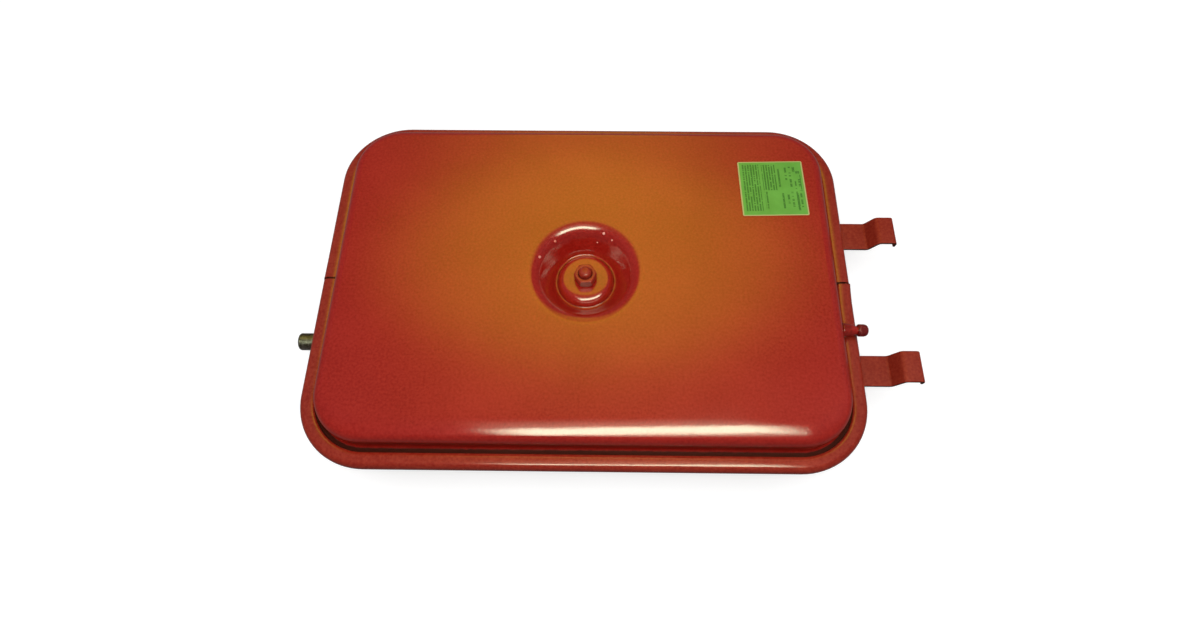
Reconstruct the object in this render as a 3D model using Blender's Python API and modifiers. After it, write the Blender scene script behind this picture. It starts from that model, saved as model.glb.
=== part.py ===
"""Flat rectangular diaphragm expansion vessel for a boiler, lying on its back.

The gas-side pan faces up. The hanging brackets and the air valve are at +X, the water stub at -X.
Every piece is placed from the empty "vessel_centre", which sits on the seam between the two pans.
"""

from math import cos, pi, radians, sin, tan

import bmesh
import bpy

MM = 0.001

# Rim and pans (millimetres, measured from the centre of the seam plane)
RIM_LENGTH, RIM_WIDTH, RIM_RADIUS = 510.0, 362.0, 65.0
BAND_HEIGHT, BAND_WIDTH, BAND_WALL = 13.0, 13.8, 2.4
BAND_GAP = 0.4
PAN_INSET = 19.5
SHEET = 1.5
FRONT_DEPTH, FRONT_EDGE = 28.5, 14.0
BACK_DEPTH, BACK_EDGE = 46.0, 22.0
FLANGE_Z, FLANGE_INSET = 1.8, 4.5

# Central dish pressed into each pan, with a raised plateau for the tie stud
DISH_FOOT, DISH_FLOOR, DISH_SLOPE = 28.2, 3.6, 55.0
DISH_RIM_R, DISH_FOOT_R = 16.5, 2.0
PLATEAU_TOP, PLATEAU_EDGE_R, PLATEAU_SLOPE, GROOVE_R = 10.1, 12.0, 58.0, 1.6

# Diaphragm
RUBBER, RUBBER_GAP = 2.0, 0.4

# Tie stud and nuts (M12)
STUD_R, NUT_FLATS, NUT_HEIGHT, STUD_TOP = 6.0, 19.0, 10.0, 26.6
SEAL_HEIGHT = 1.0
NUT_TURN = 33.0

# Water stub (G 3/8 male thread)
STUB_R, STUB_BORE_R, STUB_Y, STUB_Z, STUB_TIP = 8.33, 5.6, -56.6, -19.0, -275.6

# Air valve
VALVE_Y, VALVE_Z = -52.4, 14.0
STEM_R, STEM_BORE_R, STEM_END = 3.85, 2.6, 257.6
CAP_R, CAP_END, CAP_LENGTH = 5.75, 260.6, 9.6
PIN_R = 0.5

# Hanging brackets
STRAP_WIDTH, STRAP = 30.0, 2.5
STRAP_FLAT_Z, TAB_Z, TAB_END, LIP = -8.6, 4.2, 306.6, 6.0
BRACKETS = {"bracket_far": (59.0, 0.0, 0.0), "bracket_near": (-84.2, 1.4, 1.8)}

# Label
LABEL_X, LABEL_Y, LABEL_LENGTH, LABEL_WIDTH, LABEL_TURN = 183.0, 91.8, 64.4, 62.8, 1.5

CENTRE_X = -(TAB_END + BRACKETS["bracket_near"][1] + STRAP / 2 + STUB_TIP) / 2


def clear_scene():
    for obj in list(bpy.data.objects):
        bpy.data.objects.remove(obj, do_unlink=True)


def new_collection(name):
    collection = bpy.data.collections.new(name)
    bpy.context.scene.collection.children.link(collection)
    return collection


def paint(name, colour, roughness, metallic=0.0):
    material = bpy.data.materials.new(name)
    material.use_nodes = True
    shader = material.node_tree.nodes["Principled BSDF"]
    shader.inputs["Base Color"].default_value = (*colour, 1)
    shader.inputs["Roughness"].default_value = roughness
    shader.inputs["Metallic"].default_value = metallic
    return material


def place(obj, collection, material=None, at=(0, 0, 0), turn=(0, 0, 0)):
    """Links the object, hangs it from the vessel's centre and smooths its round faces."""
    collection.objects.link(obj)
    obj.parent = CENTRE
    obj.location = [v * MM for v in at]
    obj.rotation_euler = [radians(v) for v in turn]
    if material:
        obj.data.materials.append(material)
    for face in obj.data.polygons:
        face.use_smooth = True
    obj.data.set_sharp_from_angle(angle=radians(35))
    return obj


def cutter(obj, at=(0, 0, 0), turn=(0, 0, 0)):
    place(obj, CUTTERS, None, at, turn)
    obj.hide_render = True
    obj.display_type = "WIRE"
    return obj


def combine(obj, other, operation):
    modifier = obj.modifiers.new(f"{operation.lower()} {other.name}", "BOOLEAN")
    modifier.operation = operation
    modifier.solver = "EXACT"
    modifier.object = other


def block(name, half_x, half_y, z0, z1, corner, edge=0.0, corner_steps=7, edge_steps=4):
    """A flat block with rounded corners in plan, and rounded top edges when edge is given."""
    mesh = bpy.data.meshes.new(name)
    bm = bmesh.new()
    bmesh.ops.create_cube(bm, size=2)
    for vert in bm.verts:
        vert.co.x *= half_x * MM
        vert.co.y *= half_y * MM
        vert.co.z = (z1 if vert.co.z > 0 else z0) * MM
    if corner:
        uprights = [e for e in bm.edges if abs(e.verts[0].co.z - e.verts[1].co.z) > 1e-6]
        bmesh.ops.bevel(
            bm, geom=uprights, offset=corner * MM, segments=corner_steps, profile=0.5, affect="EDGES"
        )
    if edge:
        rim = [e for e in bm.edges if min(v.co.z for v in e.verts) > z1 * MM - 1e-6]
        bmesh.ops.bevel(
            bm, geom=rim, offset=edge * MM, segments=edge_steps, profile=0.5, affect="EDGES"
        )
    bm.to_mesh(mesh)
    bm.free()
    return bpy.data.objects.new(name, mesh)


def turned(name, profile, steps=40, closed=False):
    """A turned piece: the profile is (radius, height), down its outer side, about local Z."""
    mesh = bpy.data.meshes.new(name)
    points = [(r * MM, 0, h * MM) for r, h in profile]
    edges = [(i, i + 1) for i in range(len(points) - 1)]
    if closed:
        edges.append((len(points) - 1, 0))
    mesh.from_pydata(points, edges, [])
    obj = bpy.data.objects.new(name, mesh)
    screw = obj.modifiers.new("turn", "SCREW")
    screw.steps = screw.render_steps = steps
    screw.use_merge_vertices = True
    screw.merge_threshold = 0.00002
    screw.use_smooth_shade = True
    return obj


def tube_profile(r_in, r_out, low, high, chamfer=0.0):
    return [
        (r_in, high),
        (r_out - chamfer, high),
        (r_out, high - chamfer),
        (r_out, low + chamfer),
        (r_out - chamfer, low),
        (r_in, low),
    ] if chamfer else [(r_in, high), (r_out, high), (r_out, low), (r_in, low)]


def arc(centre_r, centre_z, radius, start, end, steps):
    """Points on a circle in the profile plane; angles in degrees from straight up, clockwise."""
    angles = [radians(start + (end - start) * i / steps) for i in range(steps + 1)]
    return [(centre_r + radius * sin(a), centre_z + radius * cos(a)) for a in angles]


def dish(face, offset):
    """The dish's surface from its rim to its axis, moved into the metal by offset."""
    slope, side = radians(DISH_SLOPE), radians(PLATEAU_SLOPE)
    drop = face - DISH_FLOOR - (DISH_RIM_R + DISH_FOOT_R) * (1 - cos(slope))
    rim_r = DISH_FOOT + (DISH_RIM_R + DISH_FOOT_R) * sin(slope) + drop / tan(slope)
    points = arc(rim_r, face - DISH_RIM_R, DISH_RIM_R, -14, -DISH_SLOPE, 4)
    points += arc(DISH_FOOT, DISH_FLOOR + DISH_FOOT_R, DISH_FOOT_R, 180 - DISH_SLOPE, 180, 3)
    points += arc(DISH_FOOT, DISH_FLOOR + GROOVE_R, GROOVE_R, 180, 180 + PLATEAU_SLOPE, 2)[1:]
    rise = PLATEAU_TOP - DISH_FLOOR - (PLATEAU_EDGE_R + GROOVE_R) * (1 - cos(side))
    top_r = DISH_FOOT - (PLATEAU_EDGE_R + GROOVE_R) * sin(side) - rise / tan(side)
    points += arc(top_r, PLATEAU_TOP - PLATEAU_EDGE_R, PLATEAU_EDGE_R, PLATEAU_SLOPE, 0, 4)
    points.append((0, PLATEAU_TOP))
    return shifted(points, offset)


def shifted(points, offset):
    """A polyline moved sideways, below itself where it runs towards the axis."""
    moved = []
    for i, (r, z) in enumerate(points):
        into = unit(points[i - 1], points[i]) if i else unit(points[0], points[1])
        out = unit(points[i], points[i + 1]) if i < len(points) - 1 else into
        side = (into[1] + out[1], -into[0] - out[0])
        scale = 2 / (side[0] ** 2 + side[1] ** 2)
        moved.append((r - side[0] * scale * offset, z - side[1] * scale * offset))
    moved[-1] = (0, points[-1][1] - offset)
    return moved


def dish_plug(name, face, offset):
    """A turned solid that fills the dish and stands clear above the pan's face."""
    points = dish(face, offset)
    level = face - offset
    first_r, first_z = points[0]
    top = [(0, level + 6), (first_r + 9, level + 6), (first_r + 9, level + 1.2)]
    lead_in = (first_r + (level + 0.35 - first_z) / tan(radians(14)), level + 0.35)
    return turned(name, top + [lead_in] + points, 36)


def pan(name, depth, edge, gap, thickness, flange, flange_inset, turn, material):
    """A pressed pan, or the diaphragm nested in one: a dished skin with a flat flange round it."""
    half_x, half_y = RIM_LENGTH / 2 - PAN_INSET - gap, RIM_WIDTH / 2 - PAN_INSET - gap
    corner = RIM_RADIUS - PAN_INSET - gap
    body = place(
        block(name, half_x, half_y, flange[0] + 0.5, depth - gap, corner, edge - gap),
        PARTS, material, turn=turn,
    )
    plate = cutter(
        block(name + "_flange", RIM_LENGTH / 2 - flange_inset, RIM_WIDTH / 2 - flange_inset,
              flange[0], flange[1], RIM_RADIUS - flange_inset),
        turn=turn,
    )
    hollow = cutter(
        block(name + "_hollow", half_x - thickness, half_y - thickness, flange[0] - 4,
              depth - gap - thickness, corner - thickness, edge - gap - thickness),
        turn=turn,
    )
    core = cutter(dish_plug(name + "_dish_back", depth, gap + thickness), turn=turn)
    combine(hollow, core, "DIFFERENCE")
    air = cutter(dish_plug(name + "_dish_front", depth, gap), turn=turn)
    combine(body, plate, "UNION")
    combine(body, air, "DIFFERENCE")
    combine(body, hollow, "DIFFERENCE")
    return body


def drill(obj, name, radius, at, turn, length):
    hole = turned(name, [(0, length), (radius, length), (radius, -length), (0, -length)], 32)
    combine(obj, cutter(hole, at, turn), "DIFFERENCE")


def shells():
    front = pan("front_shell", FRONT_DEPTH, FRONT_EDGE, 0.0, SHEET,
                (FLANGE_Z, FLANGE_Z + SHEET), FLANGE_INSET, (0, 0, 0), RED)
    drill(front, "front_stud_hole", STUD_R + 0.3, (0, 0, 9), (0, 0, 0), 6)
    drill(front, "valve_hole", 4.8, (235, VALVE_Y, VALVE_Z), (0, 90, 0), 8)
    back = pan("back_shell", BACK_DEPTH, BACK_EDGE, 0.0, SHEET,
               (FLANGE_Z, FLANGE_Z + SHEET), FLANGE_INSET, (180, 0, 0), RED)
    drill(back, "back_stud_hole", STUD_R + 0.3, (0, 0, -9), (0, 0, 0), 6)
    drill(back, "stub_hole", STUB_R + 0.3, (-235, STUB_Y, STUB_Z), (0, 90, 0), 8)
    gap = SHEET + RUBBER_GAP
    skin = pan("diaphragm", BACK_DEPTH, BACK_EDGE, gap, RUBBER,
               (-1.2, 1.2), FLANGE_INSET + 1, (180, 0, 0), RUBBER_BLACK)
    drill(skin, "diaphragm_stud_hole", STUD_R + 0.3, (0, 0, -6), (0, 0, 0), 6)


def clamp_ring():
    """Two half bands of rolled C section, butted at the middle of each short side."""
    half_z = BAND_HEIGHT / 2
    channel_z = half_z - BAND_WALL
    for name, side in (("clamp_ring_far", 1), ("clamp_ring_near", -1)):
        band = block(name, RIM_LENGTH / 2, RIM_WIDTH / 2, -half_z, half_z, RIM_RADIUS)
        round_edges(band, half_z - 0.3)
        place(band, PARTS, RED)
        hole = cutter(block(name + "_hole", RIM_LENGTH / 2 - BAND_WIDTH, RIM_WIDTH / 2 - BAND_WIDTH,
                            -20, 20, RIM_RADIUS - BAND_WIDTH))
        channel = cutter(block(name + "_channel", RIM_LENGTH / 2 - BAND_WALL, RIM_WIDTH / 2 - BAND_WALL,
                               -channel_z, channel_z, RIM_RADIUS - BAND_WALL))
        other_half = cutter(block(name + "_cut", 300, 120, -30, 30, 0),
                            (0, side * (BAND_GAP / 2 - 120), 0))
        for tool in (hole, channel, other_half):
            combine(band, tool, "DIFFERENCE")


def round_edges(obj, radius):
    """Rounds the top and bottom outlines of a block."""
    bm = bmesh.new()
    bm.from_mesh(obj.data)
    outline = [e for e in bm.edges if abs(e.verts[0].co.z - e.verts[1].co.z) < 1e-6]
    bmesh.ops.bevel(bm, geom=outline, offset=radius * MM, segments=4, profile=0.5, affect="EDGES")
    bm.to_mesh(obj.data)
    bm.free()


def tie():
    stud_half = STUD_TOP
    place(turned("tie_stud", [(0, stud_half), (3.4, stud_half - 0.5), (STUD_R - 0.8, stud_half - 1.6),
                              (STUD_R, stud_half - 3.2), (STUD_R, -stud_half + 3.2),
                              (STUD_R - 0.8, -stud_half + 1.6), (3.4, -stud_half + 0.5),
                              (0, -stud_half)], 24), PARTS, RED)
    seat = PLATEAU_TOP + 0.2
    bolt_r = STUD_R + 0.3
    for side, turn in (("front", (0, 0, 0)), ("back", (180, 0, 0))):
        seal = turned(f"tie_seal_{side}", tube_profile(bolt_r, 9.2, seat, seat + SEAL_HEIGHT),
                      24, True)
        place(seal, PARTS, FIBRE, turn=turn)
        base = seat + SEAL_HEIGHT + 0.2
        nut = hex_nut(f"tie_nut_{side}", base, base + NUT_HEIGHT)
        place(nut, PARTS, RED, turn=(turn[0], 0, NUT_TURN))
        drill(nut, f"nut_hole_{side}", bolt_r, (0, 0, 0), (0, 0, 0), 40)
    spacer = tube_profile(bolt_r, 10.0, -PLATEAU_TOP + SHEET + RUBBER_GAP + RUBBER + 0.4,
                          PLATEAU_TOP - SHEET - 0.3, 0.6)
    place(turned("tie_spacer", spacer, 24, True), PARTS, STEEL)


def hex_nut(name, low, high):
    """A hexagon with its corners turned off at the top, as a nut's are."""
    corner = NUT_FLATS / 2 / cos(pi / 6)
    mesh = bpy.data.meshes.new(name)
    bm = bmesh.new()
    bmesh.ops.create_cone(bm, cap_ends=True, segments=6, radius1=corner * MM, radius2=corner * MM,
                          depth=(high - low) * MM)
    bmesh.ops.translate(bm, verts=bm.verts, vec=(0, 0, (high + low) / 2 * MM))
    bm.to_mesh(mesh)
    bm.free()
    nut = bpy.data.objects.new(name, mesh)
    flat = NUT_FLATS / 2
    turning = turned(name + "_turning", [(0, high + 2), (flat * 0.95 - 2 / 0.58, high + 2),
                                         (corner + 1.5, high - (corner + 1.5 - flat * 0.95) * 0.58),
                                         (corner + 1.5, low - 1), (0, low - 1)], 36)
    combine(nut, cutter(turning, turn=(0 if name.endswith("front") else 180, 0, 0)), "INTERSECT")
    return nut


def water_stub():
    """Threaded pipe stub through the back pan's side wall, with its weld collar outside."""
    wall = RIM_LENGTH / 2 - PAN_INSET
    tip = -STUB_TIP
    profile = [(STUB_BORE_R, tip), (STUB_R - 1.6, tip), (STUB_R - 0.4, tip - 0.9),
               (STUB_R, tip - 2.2), (STUB_R, wall + 3.4), (STUB_R + 2.4, wall + 2.4),
               (STUB_R + 2.8, wall + 0.4), (STUB_R, wall + 0.4), (STUB_R, wall - 1.3),
               (STUB_BORE_R, wall - 1.3)]
    stub = turned("water_stub", profile, 32, True)
    place(stub, PARTS, ZINC, (0, STUB_Y, STUB_Z), (0, -90, 0))


def valve_piece(name, profile, material, steps=20, closed=True):
    return place(turned(name, profile, steps, closed), PARTS, material,
                 (0, VALVE_Y, VALVE_Z), (0, 90, 0))


def air_valve():
    """Schrader-type valve: profiles are (radius, distance along +X from the vessel's centre)."""
    valve_piece("valve_stem", [
        (STEM_BORE_R, STEM_END), (STEM_R - 0.5, STEM_END), (STEM_R, STEM_END - 0.6),
        (STEM_R, 249.2), (4.6, 248.0), (5.4, 246.0), (5.6, 243.0), (5.8, 236.4), (4.5, 236.3),
        (4.5, 231.0), (STEM_BORE_R, 231.0)], RED)
    valve_piece("valve_core_barrel", [
        (1.35, 256.4), (2.35, 256.4), (2.35, 253.0), (1.9, 252.7), (1.9, 250.7), (2.35, 250.4),
        (2.35, 247.6), (0.85, 247.6), (0.85, 248.6), (1.35, 248.6)], BRASS, 16)
    valve_piece("valve_core_gasket", tube_profile(2.02, 2.5, 250.95, 252.45), SEAL_BLACK, 16)
    valve_piece("valve_core_pin", [
        (0, 257.0), (PIN_R, 256.8), (PIN_R, 255.3), (1.05, 255.2), (1.05, 254.6), (PIN_R, 254.5),
        (PIN_R, 245.5), (1.5, 245.4), (1.5, 244.4), (PIN_R, 244.3), (PIN_R, 243.4), (0, 243.3)],
        BRASS, 12, False)
    valve_piece("valve_seat_seal", tube_profile(PIN_R + 0.12, 1.9, 245.7, 247.2), SEAL_BLACK, 16)
    core_spring()
    cap_base = CAP_END - CAP_LENGTH
    valve_piece("valve_dust_cap", [
        (0, CAP_END), (1.9, CAP_END), (3.5, CAP_END - 0.5), (4.7, CAP_END - 1.5),
        (5.5, CAP_END - 3.0), (CAP_R, CAP_END - 4.6), (CAP_R, cap_base + 1.4),
        (CAP_R - 0.35, cap_base + 0.5), (CAP_R - 1.0, cap_base),
        (STEM_R + 0.3, cap_base), (STEM_R + 0.3, CAP_END - 1.6), (0, CAP_END - 1.6)],
        RED_PLASTIC, 28, False)
    gasket = tube_profile(1.2, STEM_R, STEM_END + 0.3, CAP_END - 1.9)
    valve_piece("dust_cap_gasket", gasket, SEAL_BLACK)


def core_spring():
    """A coil of round wire about the valve pin, made as a curve and kept as a closed mesh."""
    turns, per_turn, radius, wire, low, high = 5, 8, 0.86, 0.13, 250.2, 254.3
    curve = bpy.data.curves.new("core_spring_path", "CURVE")
    curve.dimensions = "3D"
    curve.bevel_depth = wire * MM
    curve.bevel_resolution = 1
    curve.use_fill_caps = True
    count = turns * per_turn + 1
    line = curve.splines.new("POLY")
    line.points.add(count - 1)
    for i, point in enumerate(line.points):
        angle = 2 * pi * i / per_turn
        height = low + (high - low) * i / (count - 1)
        point.co = (radius * cos(angle) * MM, radius * sin(angle) * MM, height * MM, 1)
    holder = bpy.data.objects.new("core_spring_path", curve)
    bpy.context.scene.collection.objects.link(holder)
    bpy.context.view_layer.update()
    graph = bpy.context.evaluated_depsgraph_get()
    mesh = bpy.data.meshes.new_from_object(holder.evaluated_get(graph))
    bpy.data.objects.remove(holder, do_unlink=True)
    bm = bmesh.new()
    bm.from_mesh(mesh)
    bmesh.ops.remove_doubles(bm, verts=bm.verts, dist=1e-6)
    bmesh.ops.recalc_face_normals(bm, faces=bm.faces)
    bm.to_mesh(mesh)
    bm.free()
    place(bpy.data.objects.new("valve_core_spring", mesh), PARTS, STEEL,
          (0, VALVE_Y, VALVE_Z), (0, 90, 0))


def bend(points, radius, steps=4):
    """The corners of a polyline rounded to the given radius."""
    path = [points[0]]
    for before, here, after in zip(points, points[1:], points[2:]):
        into = unit(before, here)
        out = unit(here, after)
        half = (1 - (into[0] * out[0] + into[1] * out[1])) / 2
        trim = radius * (half / (1 - half)) ** 0.5
        start = (here[0] - into[0] * trim, here[1] - into[1] * trim)
        end = (here[0] + out[0] * trim, here[1] + out[1] * trim)
        for i in range(steps + 1):
            t = i / steps
            path.append(tuple(
                (1 - t) ** 2 * a + 2 * t * (1 - t) * b + t * t * c
                for a, b, c in zip(start, here, end)
            ))
    path.append(points[-1])
    return path


def unit(a, b):
    length = ((b[0] - a[0]) ** 2 + (b[1] - a[1]) ** 2) ** 0.5
    return ((b[0] - a[0]) / length, (b[1] - a[1]) / length)


def brackets():
    """Flat straps from the back pan's wall, out under the rim, joggled up to a lipped tab."""
    wall_x = RIM_LENGTH / 2 - PAN_INSET + 0.4 + STRAP / 2
    for name, (y, reach, lift) in BRACKETS.items():
        path = bend([(wall_x, -23.5), (wall_x, STRAP_FLAT_Z), (283.0 + reach, STRAP_FLAT_Z),
                     (290.6 + reach, TAB_Z + lift), (TAB_END + reach, TAB_Z + lift),
                     (TAB_END + reach, TAB_Z + lift - LIP)], 2.2)
        mesh = bpy.data.meshes.new(name)
        verts = [(x * MM, side * STRAP_WIDTH / 2 * MM, z * MM) for x, z in path for side in (-1, 1)]
        faces = [(2 * i, 2 * i + 1, 2 * i + 3, 2 * i + 2) for i in range(len(path) - 1)]
        mesh.from_pydata(verts, [], faces)
        strap = place(bpy.data.objects.new(name, mesh), PARTS, RED, (0, y, 0))
        skin = strap.modifiers.new("thickness", "SOLIDIFY")
        skin.thickness = STRAP * MM
        skin.offset = 0
        skin.use_even_offset = True


def rating_label():
    label = block("rating_label", LABEL_LENGTH / 2, LABEL_WIDTH / 2, 0, 0.2, 1.2, 0, 3)
    place(label, PARTS, GREEN, (LABEL_X, LABEL_Y, FRONT_DEPTH + 0.3), (0, 0, LABEL_TURN))


clear_scene()
PARTS = new_collection("expansion_vessel")
CUTTERS = new_collection("cutters")
CENTRE = bpy.data.objects.new("vessel_centre", None)
CENTRE.location = (CENTRE_X * MM, 0, BACK_DEPTH * MM)
PARTS.objects.link(CENTRE)

RED = paint("orange_red_gloss_paint", (0.42, 0.04, 0.012), 0.25)
RED_PLASTIC = paint("dark_red_plastic", (0.26, 0.015, 0.01), 0.35)
RUBBER_BLACK = paint("epdm_rubber", (0.02, 0.02, 0.02), 0.7)
SEAL_BLACK = paint("seal_rubber", (0.03, 0.03, 0.03), 0.6)
FIBRE = paint("fibre_washer", (0.35, 0.08, 0.04), 0.8)
STEEL = paint("plain_steel", (0.45, 0.45, 0.45), 0.35, 1.0)
ZINC = paint("dull_zinc_plate", (0.30, 0.28, 0.25), 0.4, 1.0)
BRASS = paint("brass", (0.70, 0.50, 0.20), 0.3, 1.0)
GREEN = paint("green_label", (0.13, 0.42, 0.06), 0.5)

shells()
clamp_ring()
tie()
water_stub()
air_valve()
brackets()
rating_label()
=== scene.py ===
"""Looks of the flat rectangular expansion vessel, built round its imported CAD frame.

Lengths are millimetres from the centre of the rim, which lies on the seam between the two pans and
is found from the CAD clamp rings. Lengths inside materials, lights, cards and the camera are metres.
"""

from math import atan2, cos, pi, radians, sin, tan

import bmesh
import bpy
import numpy as np
from mathutils import Matrix, Vector, noise

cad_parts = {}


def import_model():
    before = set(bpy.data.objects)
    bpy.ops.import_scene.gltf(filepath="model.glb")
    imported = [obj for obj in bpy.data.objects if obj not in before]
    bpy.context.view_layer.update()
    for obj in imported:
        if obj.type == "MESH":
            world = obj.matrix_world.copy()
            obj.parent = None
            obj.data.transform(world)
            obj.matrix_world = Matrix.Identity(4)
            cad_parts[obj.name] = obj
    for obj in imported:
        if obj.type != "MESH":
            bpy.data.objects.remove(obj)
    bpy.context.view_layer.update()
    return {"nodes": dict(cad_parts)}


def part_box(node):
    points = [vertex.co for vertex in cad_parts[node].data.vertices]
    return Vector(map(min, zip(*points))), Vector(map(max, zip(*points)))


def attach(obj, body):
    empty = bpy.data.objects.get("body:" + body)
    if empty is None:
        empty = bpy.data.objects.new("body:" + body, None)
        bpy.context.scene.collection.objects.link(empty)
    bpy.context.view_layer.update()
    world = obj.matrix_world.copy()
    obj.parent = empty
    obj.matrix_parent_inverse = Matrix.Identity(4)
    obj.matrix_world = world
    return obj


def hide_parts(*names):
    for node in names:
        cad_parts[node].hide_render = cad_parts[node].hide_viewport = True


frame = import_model()
MM = 0.001


def centre_of(*names):
    boxes = [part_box(n) for n in names]
    low = np.min([np.array(b[0]) for b in boxes], axis=0)
    high = np.max([np.array(b[1]) for b in boxes], axis=0)
    return (low + high) / 2, (high - low) / MM


RIM, RIM_SIZE = centre_of("clamp_ring_far", "clamp_ring_near")
HALF_X, HALF_Y, HALF_Z = RIM_SIZE / 2
CORNER = 65.0
BAND_WIDTH, BAND_WALL = 13.8, 2.4
WALL_INSET = 19.5
SHEET = 1.5
FRONT_FACE = (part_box("front_shell")[1][2] - RIM[2]) / MM
BACK_FACE = (RIM[2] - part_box("back_shell")[0][2]) / MM
STUD, STUD_SIZE = centre_of("tie_stud")
STUB, STUB_SIZE = centre_of("water_stub")
STEM, _ = centre_of("valve_stem")
CAP, CAP_SIZE = centre_of("valve_dust_cap")


# ---------------------------------------------------------------- mesh helpers

def from_arrays(name, verts, faces, at=None):
    """A smooth-shaded mesh object from points in millimetres about `at`, which is in metres."""
    at = RIM if at is None else at
    mesh = bpy.data.meshes.new(name)
    points = np.asarray(verts, float) * MM + np.array(at)
    mesh.from_pydata([tuple(p) for p in points], [], [tuple(int(i) for i in f) for f in faces])
    mesh.validate()
    obj = bpy.data.objects.new(name, mesh)
    bpy.context.scene.collection.objects.link(obj)
    mesh.polygons.foreach_set("use_smooth", [True] * len(mesh.polygons))
    return obj


def grid_faces(rows, cols, close_rows=False, close_cols=False):
    """Quads between consecutive rows of a grid of points."""
    faces = []
    for i in range(rows if close_rows else rows - 1):
        for j in range(cols if close_cols else cols - 1):
            a, b = i * cols + j, i * cols + (j + 1) % cols
            c, d = ((i + 1) % rows) * cols + (j + 1) % cols, ((i + 1) % rows) * cols + j
            faces.append((a, b, c, d))
    return faces


def outward(obj):
    """Merges the points where a piece closes on itself and turns its faces outward."""
    bm = bmesh.new()
    bm.from_mesh(obj.data)
    bmesh.ops.remove_doubles(bm, verts=bm.verts, dist=1e-7)
    bmesh.ops.recalc_face_normals(bm, faces=bm.faces)
    bm.to_mesh(obj.data)
    bm.free()
    return obj


def set_mask(obj, name, values):
    layer = obj.data.attributes.new(name, "FLOAT", "POINT")
    layer.data.foreach_set("value", np.asarray(values, np.float32))


def sharp(obj, degrees):
    obj.data.set_sharp_from_angle(angle=radians(degrees))
    return obj


def rounded(obj, width, degrees):
    """Rounds the edges sharper than this angle."""
    bevel = obj.modifiers.new("soft edges", "BEVEL")
    bevel.width = width * MM
    bevel.segments = 2
    bevel.limit_method = "ANGLE"
    bevel.angle_limit = radians(degrees)
    bevel.harden_normals = False
    return obj


def arc(centre_r, centre_z, radius, start, end, steps):
    """Points on a circle in the profile plane; degrees from straight up, towards larger radius."""
    angles = [radians(start + (end - start) * i / steps) for i in range(steps + 1)]
    return [(centre_r + radius * sin(a), centre_z + radius * cos(a)) for a in angles]


def fillet(points, radius, steps, closed=False):
    """A polyline with its corners rounded."""
    points = [np.array(p, float) for p in points]
    count = len(points)
    path = [] if closed else [tuple(points[0])]
    for i in range(count) if closed else range(1, count - 1):
        before, here, after = points[i - 1], points[i], points[(i + 1) % count]
        into, out = here - before, after - here
        reach = min(radius, np.linalg.norm(into) * 0.49, np.linalg.norm(out) * 0.49)
        start = here - into / np.linalg.norm(into) * reach
        end = here + out / np.linalg.norm(out) * reach
        for k in range(steps + 1):
            t = k / steps
            path.append(tuple((1 - t) ** 2 * start + 2 * t * (1 - t) * here + t * t * end))
    if not closed:
        path.append(tuple(points[-1]))
    return path


def turned(name, profile, steps, at, axis="Z", closed=True, thread=None, flutes=None):
    """A lathe piece from (radius, height) points.

    `thread` is (low, high, pitch, depth, radius) and `flutes` is (count, depth, low, high, radius).
    """
    points = []
    for r, h in profile:
        for k in range(steps):
            angle = 2 * pi * k / steps
            radius = r
            if thread and thread[0] <= h <= thread[1] and abs(r - thread[4]) < 0.01:
                fade = min(1.0, (h - thread[0]) / thread[2], (thread[1] - h) / thread[2])
                phase = (h / thread[2] - k / steps) % 1.0
                radius -= thread[3] * fade * (1 - abs(2 * phase - 1)) ** 1.1
            if flutes and flutes[2] <= h <= flutes[3] and abs(r - flutes[4]) < 0.3:
                radius -= flutes[1] * (0.5 - 0.5 * cos(flutes[0] * angle)) ** 3
            points.append((radius * cos(angle), radius * sin(angle), h))
    turn = {"Z": Matrix.Identity(3), "X": Matrix.Rotation(pi / 2, 3, "Y"),
            "-X": Matrix.Rotation(-pi / 2, 3, "Y")}[axis]
    points = [tuple(turn @ Vector(p)) for p in points]
    return outward(from_arrays(name, points, grid_faces(len(profile), steps, closed, True), at))


def fine(profile, low, high, step):
    """The profile with its upright runs between two heights cut into short steps, for a thread."""
    out = [profile[0]]
    for a, b in zip(profile, profile[1:]):
        upright = abs(a[0] - b[0]) < 1e-6
        if upright and min(a[1], b[1]) >= low - 1e-6 and max(a[1], b[1]) <= high + 1e-6:
            count = max(1, int(abs(b[1] - a[1]) / step))
            out += [(a[0], a[1] + (b[1] - a[1]) * k / count) for k in range(1, count)]
        out.append(b)
    return out


# ---------------------------------------------------------------- outlines of the rim

CORNER_STEPS, LONG_STEPS, SHORT_STEPS = 20, 40, 24


def outline(inset):
    """Points round the rim at this inset, counter-clockwise from the middle of the +X side."""
    long_half, short_half, radius = HALF_X - CORNER, HALF_Y - CORNER, CORNER - inset
    points = [(HALF_X - inset, short_half * k / (SHORT_STEPS / 2)) for k in range(SHORT_STEPS // 2)]
    corners = ((long_half, short_half, 0), (-long_half, short_half, 90),
               (-long_half, -short_half, 180), (long_half, -short_half, 270))
    sides = ((LONG_STEPS, (-1, 0)), (SHORT_STEPS, (0, -1)), (LONG_STEPS, (1, 0)),
             (SHORT_STEPS // 2, (0, 1)))
    for (cx, cy, start), (steps, (dx, dy)) in zip(corners, sides):
        for k in range(CORNER_STEPS):
            angle = radians(start + 90 * k / CORNER_STEPS)
            points.append((cx + radius * cos(angle), cy + radius * sin(angle)))
        angle = radians(start + 90)
        sx, sy = cx + radius * cos(angle), cy + radius * sin(angle)
        length = 2 * long_half if dx else 2 * short_half
        if steps == SHORT_STEPS // 2:
            length /= 2
        points += [(sx + dx * length * k / steps, sy + dy * length * k / steps)
                   for k in range(steps)]
    return np.array(points)


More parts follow.
